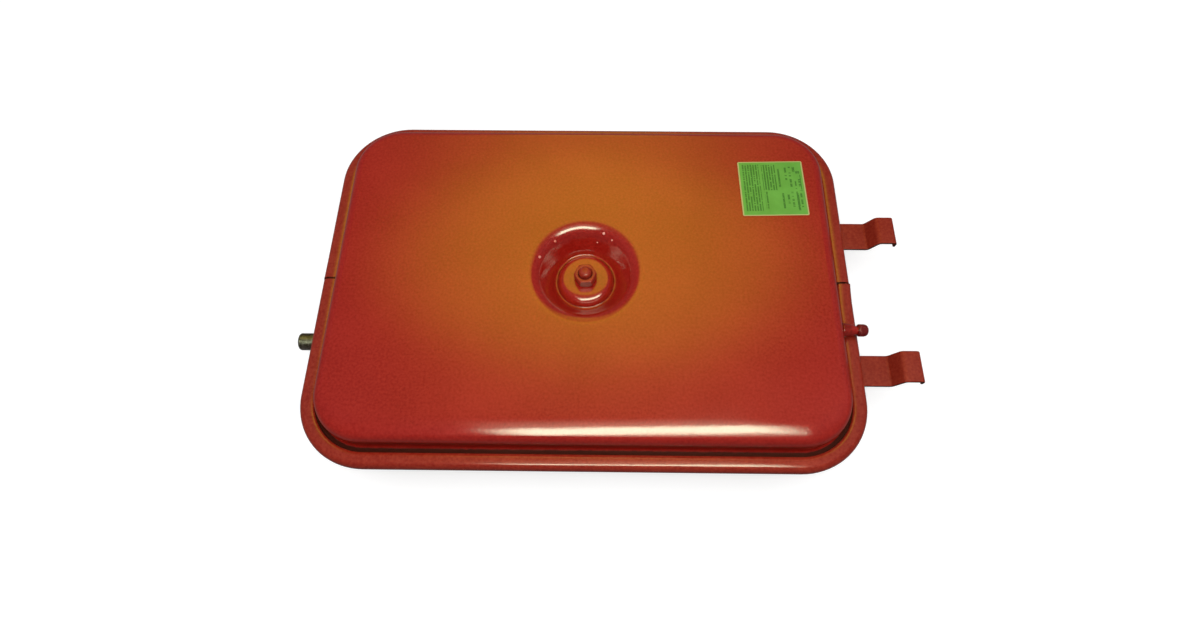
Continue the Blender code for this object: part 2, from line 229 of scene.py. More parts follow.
OUTER = outline(0.0)
ANGLES = np.arctan2(OUTER[:, 1], OUTER[:, 0])
AROUND = len(OUTER)
INWARD = outline(1.0) - OUTER
TOWARDS_FAR = np.clip(INWARD[:, 1], 0, 1)
NEAR_SIDE = TOWARDS_FAR ** 2 * (3 - 2 * TOWARDS_FAR)  # 1 along the near side, 0 round the other three


def wave(points, size, height, seed):
    """A slow waviness of pressed sheet, in millimetres."""
    return np.array([height * noise.noise(Vector((p[0] / size, p[1] / size, seed)))
                     for p in points])


# ---------------------------------------------------------------- pans

DISH_FOOT, DISH_FLOOR, DISH_SLOPE = 28.2, 3.6, 55.0
DISH_RIM_R, DISH_FOOT_R = 16.5, 2.0
PLATEAU_TOP, GROOVE_R = 10.1, 1.6
PLATEAU_EDGE_R, PLATEAU_SLOPE = 12.0, 58.0  # on the near side of the plateau
CRISP_EDGE_R, CRISP_SLOPE = 6.5, 70.0  # on its far side
STUD_HOLE_R = 6.3
FLANGE_TOP, FOOT_R = 3.3, 3.2
WALL_FOOT = 9.0  # height of the wall's first straight row
FACE_WAVE, FACE_WAVE_SIZE = 0.14, 55.0
FRONT_BENDS = ((52.0, 18.0, 8.5), (20.0, 5.0, 9.0))
BACK_BENDS = ((40.0, 12.0, 18.0), (40.0, 12.0, 18.0))


def dish_profile(face, edge_r=PLATEAU_EDGE_R, edge_slope=PLATEAU_SLOPE):
    """(radius, height) of the central dish, from the flat face in to the stud hole."""
    slope, side = radians(DISH_SLOPE), radians(edge_slope)
    drop = face - DISH_FLOOR - (DISH_RIM_R + DISH_FOOT_R) * (1 - cos(slope))
    rim_r = DISH_FOOT + (DISH_RIM_R + DISH_FOOT_R) * sin(slope) + drop / tan(slope)
    points = [(rim_r + 14, face), (rim_r + 8, face), (rim_r + 3, face)]
    points += arc(rim_r, face - DISH_RIM_R, DISH_RIM_R, 0, -DISH_SLOPE, 20)
    foot = arc(DISH_FOOT, DISH_FLOOR + DISH_FOOT_R, DISH_FOOT_R, 180 - DISH_SLOPE, 180, 5)
    last, first = points[-1], foot[0]
    points += [(last[0] + (first[0] - last[0]) * t, last[1] + (first[1] - last[1]) * t)
               for t in np.linspace(0, 1, 9)[1:-1]]
    groove = arc(DISH_FOOT, DISH_FLOOR + GROOVE_R, GROOVE_R, 180, 180 + edge_slope, 5)
    points += foot + groove[1:]
    rise = PLATEAU_TOP - DISH_FLOOR - (edge_r + GROOVE_R) * (1 - cos(side))
    top_r = DISH_FOOT - (edge_r + GROOVE_R) * sin(side) - rise / tan(side)
    points += arc(top_r, PLATEAU_TOP - edge_r, edge_r, edge_slope, 0, 10)
    points += [(r, PLATEAU_TOP) for r in (14.0, 11.0, 8.5, STUD_HOLE_R)]
    return points


def edge_bend(face, shallow_r, turn, tight_r):
    """Rows (inset, height) from the wall up to the face: a tight bend, then a shallow one."""
    turn = radians(turn)
    drop = shallow_r * (1 - cos(turn))
    rows = []
    for a in np.linspace(radians(90), turn, 12):
        rows.append((WALL_INSET + tight_r * (1 - sin(a)), face - drop - tight_r * (cos(turn) - cos(a))))
    start = WALL_INSET + tight_r * (1 - sin(turn)) + shallow_r * sin(turn)
    for a in np.linspace(turn, 0, 9)[1:]:
        rows.append((start - shallow_r * sin(a), face - shallow_r * (1 - cos(a))))
    return rows


def skirt():
    """Rows (inset, height, shade): flange under the band, rolled foot, start of the wall, with painted
    shade in the crevice under the band that fades up the foot.
    """
    foot_start = WALL_INSET - FOOT_R
    rows = [(inset, FLANGE_TOP, 1.0) for inset in (4.6, 9.0, 14.2, foot_start)]
    rows += [(foot_start + FOOT_R * sin(a), FLANGE_TOP + FOOT_R * (1 - cos(a)), shade_level)
             for a, shade_level in zip(np.radians([18, 36, 54, 72, 90]), (0.7, 0.35, 0.1, 0.0, 0.0))]
    return rows + [(WALL_INSET, WALL_FOOT, 0.0)]


def pan(name, face, bends, sign, node, seed):
    """A pressed pan as one skin: flange, rolled foot, wall, edge bend, flat face and dish.

    `bends` holds the bend along the near side, then the bend round the other three, for edge_bend.
    """
    rows, painted_shade = [], []
    near, round_rest = edge_bend(face, *bends[0]), edge_bend(face, *bends[1])
    levels = [(inset, z, inset, z, shade_level) for inset, z, shade_level in skirt()]
    levels += [(*a, *b, 0.0) for a, b in zip(near, round_rest)]
    for near_inset, near_z, rest_inset, rest_z, shade_level in levels:
        inset = rest_inset + (near_inset - rest_inset) * NEAR_SIDE
        z = rest_z + (near_z - rest_z) * NEAR_SIDE
        rows.append(np.column_stack([OUTER + INWARD * inset[:, None], z]))
        painted_shade.append(np.full(AROUND, shade_level))
    dish = dish_profile(face)
    border = rows[-1][:, :2]
    first = np.column_stack([dish[0][0] * np.cos(ANGLES), dish[0][0] * np.sin(ANGLES)])
    for t in np.linspace(0, 1, 9)[1:-1]:
        rows.append(np.column_stack([border * (1 - t) + first * t, np.full(AROUND, face)]))
        painted_shade.append(np.zeros(AROUND))
    towards_near = np.clip(-np.sin(ANGLES), 0, 1) ** 2
    for (r, z), (crisp_r, crisp_z) in zip(dish, dish_profile(face, CRISP_EDGE_R, CRISP_SLOPE)):
        mixed_r = crisp_r + (r - crisp_r) * towards_near
        mixed_z = crisp_z + (z - crisp_z) * towards_near
        rows.append(np.column_stack([mixed_r * np.cos(ANGLES), mixed_r * np.sin(ANGLES), mixed_z]))
        # Painted shade in the dish's groove and a painted shadow in a ring round the nut's seat.
        in_groove = max(0.0, 1 - abs(r - DISH_FOOT + 0.6) / 2.6) if z < 8 else 0.0
        round_nut = 0.35 * max(0.0, 1 - abs(r - 10.5) / 3.5)
        painted_shade.append(np.full(AROUND, max(0.45 * in_groove, round_nut)))
    points = np.concatenate(rows)
    points[:, 2] += wave(points, FACE_WAVE_SIZE, FACE_WAVE, seed) * (points[:, 2] > face - 1.0)
    points[:, 2] *= sign
    obj = from_arrays(name, points, grid_faces(len(rows), AROUND, False, True))
    set_mask(obj, "painted_shade", np.concatenate(painted_shade))
    if sign < 0:
        obj.data.flip_normals()
    skin = obj.modifiers.new("sheet", "SOLIDIFY")
    skin.thickness = SHEET * MM
    skin.offset = -1.0
    skin.use_even_offset = True
    return finish(obj, "vessel", PAINT, node)


# ---------------------------------------------------------------- clamp ring

SPRING = {(1, 1): 0.0, (-1, 1): 1.1, (1, -1): 0.3, (-1, -1): 0.0}  # how proud each (half, end) stands
SPRING_REACH = 26.0
BAND_GAP = 0.35  # from the middle to each half's cut end
BAND_WAVE, BAND_WAVE_SIZE = 0.16, 70.0
ROLL_WIDTH, ROLL_HEIGHT = 6.2, 6.0


def band_profile():
    """Closed section of the rolled band, (inset, height)."""
    half, lip, wall = HALF_Z, BAND_WIDTH, BAND_WALL
    outside = [(lip, half - 2.6), (lip - 0.2, half - 1.1), (lip - 1.3, half - 0.35),
               (lip - 3.2, half - 0.05), (8.4, half)]
    outside += [(ROLL_WIDTH - ROLL_WIDTH * sin(a), half - ROLL_HEIGHT + ROLL_HEIGHT * cos(a))
                for a in np.radians(np.linspace(8, 82, 10))]
    outside.append((0.0, 0.0))
    below = [(i, -z) for i, z in reversed(outside[:-1])]
    inner = [(lip, -(half - wall)), (wall + 1.4, -(half - wall)), (wall, -2.7), (wall, 2.7),
             (wall + 1.4, half - wall), (lip, half - wall)]
    return outside + below + inner


def band_half(name, side, node):
    """One half of the clamp band, its cut ends sprung a little proud of each other."""
    profile = band_profile()
    start = 0 if side > 0 else AROUND // 2
    index = [(start + k) % AROUND for k in range(AROUND // 2 + 1)]
    rings = [outline(inset)[index] for inset, _ in profile]
    gap = BAND_GAP * side
    rows = []
    for k in range(len(index)):
        row = np.array([[*ring[k], height] for ring, (_, height) in zip(rings, profile)])
        if k in (0, len(index) - 1):
            row[:, 1] = gap
        rows.append(row)
    rows = with_end_rows(rows)
    points = np.concatenate(rows)
    away = np.abs(points[:, 1])
    spring = np.clip(1 - away / SPRING_REACH, 0, 1) ** 2
    proud = SPRING[(side, 1)] * (points[:, 0] > 0) - SPRING[(side, -1)] * (points[:, 0] < 0)
    points[:, 0] += spring * proud
    points[:, 2] += wave(points, BAND_WAVE_SIZE, BAND_WAVE, 3.0 + side)
    count = len(profile)
    faces = grid_faces(len(rows), count, False, True)
    faces.append(tuple(range(count))[::-1])
    faces.append(tuple(range((len(rows) - 1) * count, len(rows) * count)))
    obj = from_arrays(name, points, faces)
    # Painted shade in the gap at each cut end and along the band's lips beside the crevice.
    cut_end = (away < abs(gap) + 0.05) * 0.8
    lips = np.array([0.0 if 1 < p < count - 2 and profile[p][1] > 0 else 0.4 for p in range(count)])
    set_mask(obj, "painted_shade", np.maximum(cut_end, np.tile(lips, len(rows)) * 0.6))
    outward_keep(obj)
    sharp(obj, 40)
    return finish(obj, "vessel", RING_PAINT, node)


def with_end_rows(rows):
    """Extra rows close to each cut end, so that the spring of the ends bends smoothly."""
    out = [rows[0]]
    for a, b in zip(rows, rows[1:]):
        near_end = min(abs(a[0, 1]), abs(b[0, 1])) < 0.8 and abs(a[0, 1] - b[0, 1]) > 2
        if near_end:
            out += [a + (b - a) * t for t in (0.08, 0.25, 0.5, 0.75)]
        out.append(b)
    return out


def outward_keep(obj):
    """Turns faces outward without touching the vertices or their masks."""
    bm = bmesh.new()
    bm.from_mesh(obj.data)
    bmesh.ops.recalc_face_normals(bm, faces=bm.faces)
    bm.to_mesh(obj.data)
    bm.free()


# ---------------------------------------------------------------- tie stud and nuts

NUT_FLATS, NUT_HEIGHT, NUT_TURN = 19.0, 10.0, 33.0
NUT_EDGE_R, NUT_EDGE_ANGLE = 0.22, 20
CROWN_SHARE, CORNER_SHARE = 0.955, 1.148  # of half the width across flats
STUD_R, STUD_PITCH, STUD_THREAD_DEPTH = 6.0, 1.75, 0.75


def nut(name, node):
    """A chamfered hexagon nut with a countersunk bore."""
    at, _ = centre_of(node)
    half, flat, steps = NUT_HEIGHT / 2, NUT_FLATS / 2, 96
    turn = radians(NUT_TURN)
    crown = flat * CROWN_SHARE
    rows = []
    for k in range(steps):
        angle = 2 * pi * k / steps
        offset = (angle + pi / 6) % (pi / 3) - pi / 6
        reach = min(flat / cos(offset), flat * CORNER_SHARE)
        drop = (reach - crown) * tan(radians(30))
        ring = [(STUD_R + 0.1, -half), (STUD_R + 0.1, half - 0.9), (STUD_R + 1.0, half),
                (crown, half), (reach, half - drop), (reach, -half + drop), (crown, -half),
                (STUD_R + 1.0, -half)]
        rows.append([(r * cos(angle + turn), r * sin(angle + turn), h) for r, h in ring])
    count = len(rows[0])
    obj = from_arrays(name, np.concatenate(rows), grid_faces(steps, count, True, True), at)
    # Painted shade in the bore, down the lower part of the flats and on the underside.
    set_mask(obj, "painted_shade", np.tile([0.9, 0.8, 0.3, 0.0, 0.0, 0.35, 0.7, 0.8], steps))
    outward_keep(obj)
    rounded(sharp(obj, NUT_EDGE_ANGLE), NUT_EDGE_R, NUT_EDGE_ANGLE)
    return finish(obj, "vessel", NUT_PAINT, node)


def stud(name, node):
    """The tie stud, threaded at both ends, with rounded tips."""
    tip = STUD_SIZE[2] / 2
    seat = PLATEAU_TOP + 11.2
    upper = [(0.02, tip), (2.0, tip - 0.12), (3.6, tip - 0.5), (4.9, tip - 1.3), (5.6, tip - 2.3),
             (STUD_R, tip - 3.3)]
    thread_top, thread_low = tip - 3.3, seat - 6.0
    profile = upper + [(STUD_R, thread_low), (STUD_R, -thread_low)]
    profile += [(r, -h) for r, h in reversed(upper)]
    profile = fine(profile, thread_low, thread_top, 0.22)
    profile = fine(profile, -thread_top, -thread_low, 0.22)
    obj = turned(name, profile, 64, STUD, closed=False,
                 thread=(thread_low, thread_top, STUD_PITCH, STUD_THREAD_DEPTH, STUD_R))
    return finish(obj, "vessel", NUT_PAINT, node)


# ---------------------------------------------------------------- water stub and air valve

STUB_R, STUB_BORE, STUB_PITCH, STUB_THREAD_DEPTH = 8.33, 5.6, 1.337, 0.8


def water_stub(name, node):
    """Pipe stub with a male thread of 19 to the inch, a weld bead at its root and an open bore."""
    radius, bore = STUB_R, STUB_BORE
    tip, root = STUB_SIZE[0] / 2, -STUB_SIZE[0] / 2
    profile = [(bore + 0.4, tip), (radius - 1.5, tip), (radius - 0.5, tip - 0.5), (radius, tip - 1.5),
               (radius, root + 5.2), (radius - 0.1, root + 4.9), (radius + 1.0, root + 4.2),
               (radius + 2.0, root + 3.2), (radius + 2.6, root + 2.2), (radius + 2.7, root + 1.5),
               (radius, root + 1.5), (radius, root), (bore, root), (bore, tip - 0.4)]
    profile = fine(profile, root + 5.2, tip - 1.5, 0.16)
    obj = turned(name, profile, 72, STUB, "-X",
                 thread=(root + 5.4, tip - 1.4, STUB_PITCH, STUB_THREAD_DEPTH, radius))
    return finish(obj, "vessel", ZINC, node)


STEM_THREAD_R, STEM_THREAD_START, STEM_PITCH, STEM_THREAD_DEPTH = 3.85, 250.2, 0.794, 0.35
STEM_BORE, STEM_ROOT_SHADE = 2.6, 0.45


def valve_stem(name, node):
    """The air valve's body, threaded for its cap and flared towards the pan; heights run along +X."""
    low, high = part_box(node)
    start, end = (low[0] - RIM[0]) / MM, (high[0] - RIM[0]) / MM
    at = (RIM[0], STEM[1], STEM[2])
    profile = [(STEM_BORE, end), (3.35, end), (STEM_THREAD_R, end - 0.6),
               (STEM_THREAD_R, STEM_THREAD_START), (4.2, 249.4), (4.5, 248.4), (4.75, 247.6),
               (5.3, 246.0), (5.6, 243.5), (6.3, 240.0), (7.0, 237.4), (7.2, 236.2), (4.5, 236.2),
               (4.5, start), (STEM_BORE, start)]
    profile = fine(profile, STEM_THREAD_START, end - 0.6, 0.14)
    obj = turned(name, profile, 56, at, "X",
                 thread=(250.4, end - 0.5, STEM_PITCH, STEM_THREAD_DEPTH, STEM_THREAD_R))
    along = np.array([(v.co.x - RIM[0]) / MM for v in obj.data.vertices])
    # Painted shade on the stem towards its root at the pan.
    set_mask(obj, "painted_shade", STEM_ROOT_SHADE * np.clip((248.5 - along) / 5.0, 0, 1))
    return finish(obj, "vessel", PAINT, node)


FLUTES, FLUTE_DEPTH = 24, 0.35


def dust_cap(name, node):
    """Domed moulded cap with fine grip flutes round its skirt."""
    low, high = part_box(node)
    base, end = (low[0] - RIM[0]) / MM, (high[0] - RIM[0]) / MM
    at = (RIM[0], CAP[1], CAP[2])
    radius = CAP_SIZE[1] / 2
    outside = [(0.02, end), (1.9, end - 0.02), (3.3, end - 0.35), (4.5, end - 1.1),
               (5.3, end - 2.3), (radius, end - 4.2), (radius, base + 1.5),
               (radius - 0.3, base + 0.5), (radius - 0.95, base)]
    inside = [(4.15, base), (4.15, end - 1.6), (0.02, end - 1.6)]
    profile = fine(outside, base + 1.5, end - 4.2, 0.6) + inside
    obj = turned(name, profile, 96, at, "X", closed=False,
                 flutes=(FLUTES, FLUTE_DEPTH, base + 0.6, end - 3.0, radius))
    sharp(obj, 50)
    return finish(obj, "dust_cap", CAP_PLASTIC, node)


# ---------------------------------------------------------------- hanging brackets

STRAP, STRAP_WIDTH, STRAP_BEND_R, STRAP_EDGE_R = 2.5, 30.0, 2.7, 1.1
STRAP_LEVEL, JOGGLE_FROM, JOGGLE_RUN, JOGGLE_TO_TIP = -8.6, 283.0, 7.6, 306.6
LIP_DROP = 6.0


def bracket(name, node):
    """A bent strap of sheared steel strip, with a weld bead each side of its foot."""
    low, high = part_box(node)
    y = ((low[1] + high[1]) / 2 - RIM[1]) / MM
    tip = (high[0] - RIM[0]) / MM - STRAP / 2
    foot_x = (low[0] - RIM[0]) / MM + STRAP / 2
    top = (high[2] - RIM[2]) / MM - STRAP / 2
    foot = (low[2] - RIM[2]) / MM
    joggle = JOGGLE_FROM + tip - JOGGLE_TO_TIP
    path = fillet([(foot_x, foot), (foot_x, STRAP_LEVEL), (joggle, STRAP_LEVEL),
                   (joggle + JOGGLE_RUN, top), (tip, top), (tip, top - LIP_DROP)], STRAP_BEND_R, 7)
    half, thick = STRAP_WIDTH / 2, STRAP / 2
    section = fillet([(-half, -thick), (half, -thick), (half, thick), (-half, thick)],
                     STRAP_EDGE_R, 4, closed=True)
    rows = []
    for i, (x, z) in enumerate(path):
        a, b = path[max(0, i - 1)], path[min(len(path) - 1, i + 1)]
        along = np.array([b[0] - a[0], b[1] - a[1]])
        along /= np.linalg.norm(along)
        across = np.array([-along[1], along[0]])
        end_shrink = 1 - 0.012 * (i in (0, len(path) - 1))
        rows.append([(x + across[0] * t, y + s * end_shrink, z + across[1] * t)
                     for s, t in section])
    count = len(section)
    faces = grid_faces(len(rows), count, False, True)
    faces.append(tuple(range(count)))
    faces.append(tuple(range((len(rows) - 1) * count, len(rows) * count))[::-1])
    obj = from_arrays(name, np.concatenate(rows), faces)
    # Painted shade along the strap's long edges.
    edge = [0.75 if abs(s) > half - 0.4 else 0.0 for s, _ in section]
    set_mask(obj, "painted_shade", np.tile(edge, len(rows)))
    outward_keep(obj)
    sharp(obj, 50)
    finish(obj, "vessel", STRAP_PAINT, node)
    for side, where in ((-1, "near"), (1, "far")):
        bead(f"{name}_weld_{where}", foot_x - 0.4, y + side * half, foot + 1.0, BEAD_TOP)


BEAD_R, BEAD_TOP, BEAD_RIPPLE, BEAD_WAVES = 1.7, -11.0, 0.22, 31.0


def bead(name, x, y, low, high):
    """A short wavy fillet weld, painted over."""
    rows, steps, around = [], 26, 12
    turns = [2 * pi * k / around for k in range(around)]
    for i in range(steps + 1):
        t = i / steps
        ripple = sin(t * BEAD_WAVES)
        swell = (BEAD_R + BEAD_RIPPLE * ripple) * min(1.0, 6 * t + 0.25, 6 * (1 - t) + 0.25)
        z = low + (high - low) * t + 0.5 * ripple
        rows.append([(x + swell * cos(a), y + swell * sin(a), z) for a in turns])
    faces = grid_faces(len(rows), around, False, True)
    faces.append(tuple(range(around)))
    faces.append(tuple(range(steps * around, (steps + 1) * around))[::-1])
    obj = from_arrays(name, np.concatenate(rows), faces)
    # Darkens the bead a little, in patches, through the painted-shade mask.
    set_mask(obj, "painted_shade", np.full(len(rows) * around, 0.15))
    outward_keep(obj)
    return finish(obj, "vessel", PAINT)


# ---------------------------------------------------------------- label

LABEL_LENGTH, LABEL_WIDTH, LABEL_CORNER_R, LABEL_TURN = 64.4, 62.8, 1.6, 1.5
LABEL_TOP, LABEL_UNDER, LABEL_EDGE_DROP = 0.16, -0.04, 0.05  # heights over the CAD label's underside


def label(name, node):
    """A thin stuck-on sheet with rounded corners, its edges following the face."""
    low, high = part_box(node)
    half_x, half_y, corner, steps = LABEL_LENGTH / 2, LABEL_WIDTH / 2, LABEL_CORNER_R, 6
    loop = []
    for cx, cy, start in ((1, 1, 0), (-1, 1, 90), (-1, -1, 180), (1, -1, 270)):
        for k in range(steps + 1):
            a = radians(start + 90 * k / steps)
            loop.append((cx * (half_x - corner) + corner * cos(a),
                         cy * (half_y - corner) + corner * sin(a)))
    scales = [0.35, 0.7, 0.93, 0.99, 1.0]
    rows = [[(x * s, y * s, LABEL_TOP - (LABEL_EDGE_DROP if s == 1.0 else 0.0)) for x, y in loop]
            for s in scales]
    rows += [[(x * s, y * s, LABEL_UNDER) for x, y in loop] for s in reversed(scales)]
    count = len(loop)
    faces = grid_faces(len(rows), count, False, True)
    faces.append(tuple(range(count)))
    faces.append(tuple(range((len(rows) - 1) * count, len(rows) * count))[::-1])
    obj = from_arrays(name, np.concatenate(rows), faces, at=(0, 0, 0))
    outward_keep(obj)
    sharp(obj, 40)
    at = ((low[0] + high[0]) / 2, (low[1] + high[1]) / 2, low[2])
    obj.matrix_world = Matrix.Translation(at) @ Matrix.Rotation(radians(LABEL_TURN), 4, "Z")
    return finish(obj, "vessel", LABEL_PRINT, node)


# ---------------------------------------------------------------- materials

class Graph:
    """A short way to write shader nodes."""

    def __init__(self, name):
        self.material = bpy.data.materials.new(name)
        self.material.use_nodes = True
        self.tree = self.material.node_tree
        self.shader = self.tree.nodes["Principled BSDF"]
        self.place = self.node("ShaderNodeTexCoord").outputs["Object"]

    def node(self, kind, **settings):
        made = self.tree.nodes.new(kind)
        for key, value in settings.items():
            setattr(made, key, value)
        return made

    def link(self, source, target):
        if isinstance(source, (int, float, tuple)):
            target.default_value = source
        else:
            self.tree.links.new(source, target)

    def set(self, **values):
        for key, value in values.items():
            self.link(value, self.shader.inputs[key.replace("_", " ")])

    def noise(self, scale, detail=2.0, roughness=0.5, where=None):
        made = self.node("ShaderNodeTexNoise")
        made.inputs["Scale"].default_value = scale
        made.inputs["Detail"].default_value = detail
        made.inputs["Roughness"].default_value = roughness
        self.link(where or self.place, made.inputs["Vector"])
        return made.outputs["Fac"]

    def math(self, operation, a, b=0.0, clamp=False):
        made = self.node("ShaderNodeMath", operation=operation, use_clamp=clamp)
        for socket, value in zip(made.inputs, (a, b)):
            self.link(value, socket)
        return made.outputs[0]

    def remap(self, value, low, high, to_low, to_high, kind="LINEAR"):
        made = self.node("ShaderNodeMapRange", interpolation_type=kind)
        for socket, number in zip(made.inputs, (value, low, high, to_low, to_high)):
            self.link(number, socket)
        return made.outputs[0]

    def mix(self, factor, a, b):
        made = self.node("ShaderNodeMix", data_type="RGBA")
        for index, value in ((0, factor), (6, a), (7, b)):
            self.link(value, made.inputs[index])
        return made.outputs[2]

    def mask(self, name):
        return self.node("ShaderNodeAttribute", attribute_name=name).outputs["Fac"]

    def bump(self, height, distance, under=None):
        made = self.node("ShaderNodeBump")
        made.inputs["Strength"].default_value = 1.0
        made.inputs["Distance"].default_value = distance
        self.link(height, made.inputs["Height"])
        if under is not None:
            self.link(under, made.inputs["Normal"])
        return made.outputs[0]


def rgb(r, g, b):
    return (r, g, b, 1.0)


def tinted(colour, *factors):
    """The colour with each channel scaled, as shader nodes take it."""
    return rgb(*[channel * factor for channel, factor in zip(colour, factors)])


def paint(name, colour, dark, rough, coat=0.0, peel=1.0, specular=0.3):
    """Baked enamel over pressed steel: orange peel, mottled colour, specks, and painted shade by mask.
    """
    g = Graph(name)
    drift = g.math("ADD", g.math("MULTIPLY", g.noise(14.0, 3.0), 0.35),
                   g.math("MULTIPLY", g.noise(430.0, 2.0), 0.65))
    base = g.mix(g.remap(drift, 0.35, 0.65, 0.0, 1.0), tinted(colour, 0.84, 0.5, 0.4),
                 tinted(colour, 1.16, 1.5, 1.6))
    specks = g.remap(g.noise(520.0, 1.0), 0.70, 0.78, 0.0, 0.45)
    base = g.mix(specks, base, tinted(colour, 0.55, 0.5, 0.5))
    # Painted shade: where the mask, broken up by noise, is high, the enamel turns to the dark colour,
    # roughens and loses its coat.
    scatter = g.math("MULTIPLY", g.math("SUBTRACT", g.noise(160.0, 4.0), 0.5), 0.5)
    painted_shade = g.remap(g.math("ADD", g.mask("painted_shade"), scatter), 0.25, 0.70, 0.0, 1.0)
    unshaded = g.math("SUBTRACT", 1.0, painted_shade)
    base = g.mix(painted_shade, base, rgb(*dark))
    roughness = g.math("ADD", g.remap(g.noise(38.0, 4.0), 0.3, 0.7, rough - 0.025, rough + 0.035),
                       g.math("MULTIPLY", painted_shade, 0.35), clamp=True)
    fine_peel = g.bump(g.noise(620.0, 2.0, 0.45), 0.00002 * peel)
    normal = g.bump(g.noise(210.0, 1.0, 0.4), 0.00003 * peel, under=fine_peel)
    g.set(Base_Color=base, Roughness=roughness, Normal=normal, Coat_Normal=normal,
          Coat_Roughness=0.08, Coat_Weight=g.math("MULTIPLY", unshaded, coat) if coat else 0.0,
          Specular_IOR_Level=specular)
    return g.material


def metal(name, colour, dark, rough):
    """Bare or plated metal with clouded colour and fine uneven polish."""
    g = Graph(name)
    base = g.mix(g.remap(g.noise(260.0, 5.0, 0.6), 0.35, 0.65, 0.0, 1.0), rgb(*dark), rgb(*colour))
    polish = g.remap(g.noise(572.0, 3.0), 0.3, 0.7, rough - 0.08, rough + 0.1)
    g.set(Base_Color=base, Metallic=1.0, Roughness=polish,
          Normal=g.bump(g.noise(910.0, 3.0), 0.00001))
    return g.material


def matt(name, colour, rough, grain=700.0):
    """Rubber or fibre with a fine grain."""
    g = Graph(name)
    tone = g.remap(g.noise(grain * 0.15, 4.0), 0.3, 0.7, 0.0, 1.0)
    base = g.mix(tone, tinted(colour, 0.75, 0.75, 0.75), tinted(colour, 1.2, 1.2, 1.2))
    uneven = g.remap(g.noise(grain * 0.4, 2.0), 0.3, 0.7, rough - 0.07, rough + 0.07)
    g.set(Base_Color=base, Roughness=uneven, Normal=g.bump(g.noise(grain, 3.0), 0.00003))
    return g.material


# Printed areas in the label's own plane, millimetres (x low, x high, y low, y high), all of them
# plain bars and dashes.
SMALL_PRINT = ((-28.5, -11.5, -26.0, 28.0), (-9.0, 4.5, -2.5, 27.5), (-8.5, -5.0, -24.0, -4.0))
LARGE_PRINT = ((12.0, 21.0, -22.0, 25.0), (22.5, 28.0, -24.0, 12.0))
BARS = ((8.4, 10.4, -23.5, -6.0), (6.6, 8.6, 1.0, 22.5), (22.6, 24.8, -26.0, -6.5),
        (28.0, 29.2, -4.0, 15.0), (21.4, 24.0, 18.6, 24.4), (24.4, 28.4, 16.6, 19.6),
        (-17.6, -16.4, -8.0, -5.0), (-19.4, -18.4, 10.0, 26.0))
GREEN, PALE_GREEN = (0.088, 0.285, 0.034), (0.115, 0.340, 0.048)
BORDER, INK = (0.40, 0.38, 0.14), (0.014, 0.105, 0.012)
BORDER_AT, BORDER_TO_PRINT = (0.0309, 0.0304), 0.0020  # metres


def label_print(name):
    """Green label stock with a pale border and generic printed bars and dashes."""
    g = Graph(name)
    split = g.node("ShaderNodeSeparateXYZ")
    g.link(g.place, split.inputs[0])
    x, y = split.outputs[0], split.outputs[1]
    green = g.mix(g.remap(g.noise(60.0, 3.0), 0.3, 0.7, 0.0, 1.0), rgb(*GREEN), rgb(*PALE_GREEN))
    edge = g.math("MAXIMUM", g.math("SUBTRACT", g.math("ABSOLUTE", x), BORDER_AT[0]),
                  g.math("SUBTRACT", g.math("ABSOLUTE", y), BORDER_AT[1]))
    base = g.mix(g.remap(edge, -0.0001, 0.0001, 0.0, 1.0), green, rgb(*BORDER))
    inside = g.math("LESS_THAN", edge, -BORDER_TO_PRINT)

    def between(value, low, high):
        """1 between two limits in millimetres, 0 outside them."""
        off_middle = g.math("ABSOLUTE", g.math("SUBTRACT", value, (low + high) / 2000))
        return g.math("LESS_THAN", off_middle, (high - low) / 2000)

    def patches(areas):
        total = 0.0
        for x0, x1, y0, y1 in areas:
            patch = g.math("MULTIPLY", between(x, x0, x1), between(y, y0, y1))
            total = g.math("MAXIMUM", total, patch)
        return total

    def dashes(pitch, spacing, share, seed, threshold):
        row = g.math("DIVIDE", x, pitch)
        part = g.math("FRACT", row)
        strip = g.math("MULTIPLY", g.math("GREATER_THAN", part, 0.22),
                       g.math("LESS_THAN", part, 0.22 + share))
        spot = g.node("ShaderNodeCombineXYZ")
        g.link(g.math("FLOOR", row), spot.inputs[0])
        g.link(g.math("DIVIDE", y, spacing), spot.inputs[1])
        spot.inputs[2].default_value = seed
        broken = g.math("GREATER_THAN", g.noise(1.0, 1.0, where=spot.outputs[0]), threshold)
        return g.math("MULTIPLY", strip, broken)

    small = g.math("MULTIPLY", dashes(0.0026, 0.0018, 0.62, 0.5, 0.38), patches(SMALL_PRINT))
    large = g.math("MULTIPLY", dashes(0.0042, 0.0030, 0.50, 4.5, 0.50), patches(LARGE_PRINT))
    solid = g.math("MULTIPLY", patches(BARS), g.remap(g.noise(800.0, 1.0), 0.3, 0.42, 0.2, 1.0))
    printed = g.math("MAXIMUM", g.math("MAXIMUM", small, large), solid)
    worn = g.math("MULTIPLY", g.math("MULTIPLY", printed, inside),
                  g.remap(g.noise(900.0, 2.0), 0.25, 0.5, 0.50, 0.85))
    base = g.mix(worn, base, rgb(*INK))
    g.set(Base_Color=base, Roughness=g.remap(g.noise(90.0, 3.0), 0.3, 0.7, 0.36, 0.48),
          Normal=g.bump(g.noise(300.0, 2.0), 0.00002))
    return g.material


PAINT_RED = (0.300, 0.0100, 0.0055)
# The colour of the painted shade in the red enamels.
PAINTED_SHADE_COLOUR = (0.030, 0.0030, 0.0010)
PAINT = paint("orange_red_enamel", PAINT_RED, PAINTED_SHADE_COLOUR, 0.30, coat=1.0, peel=1.3, specular=0.10)
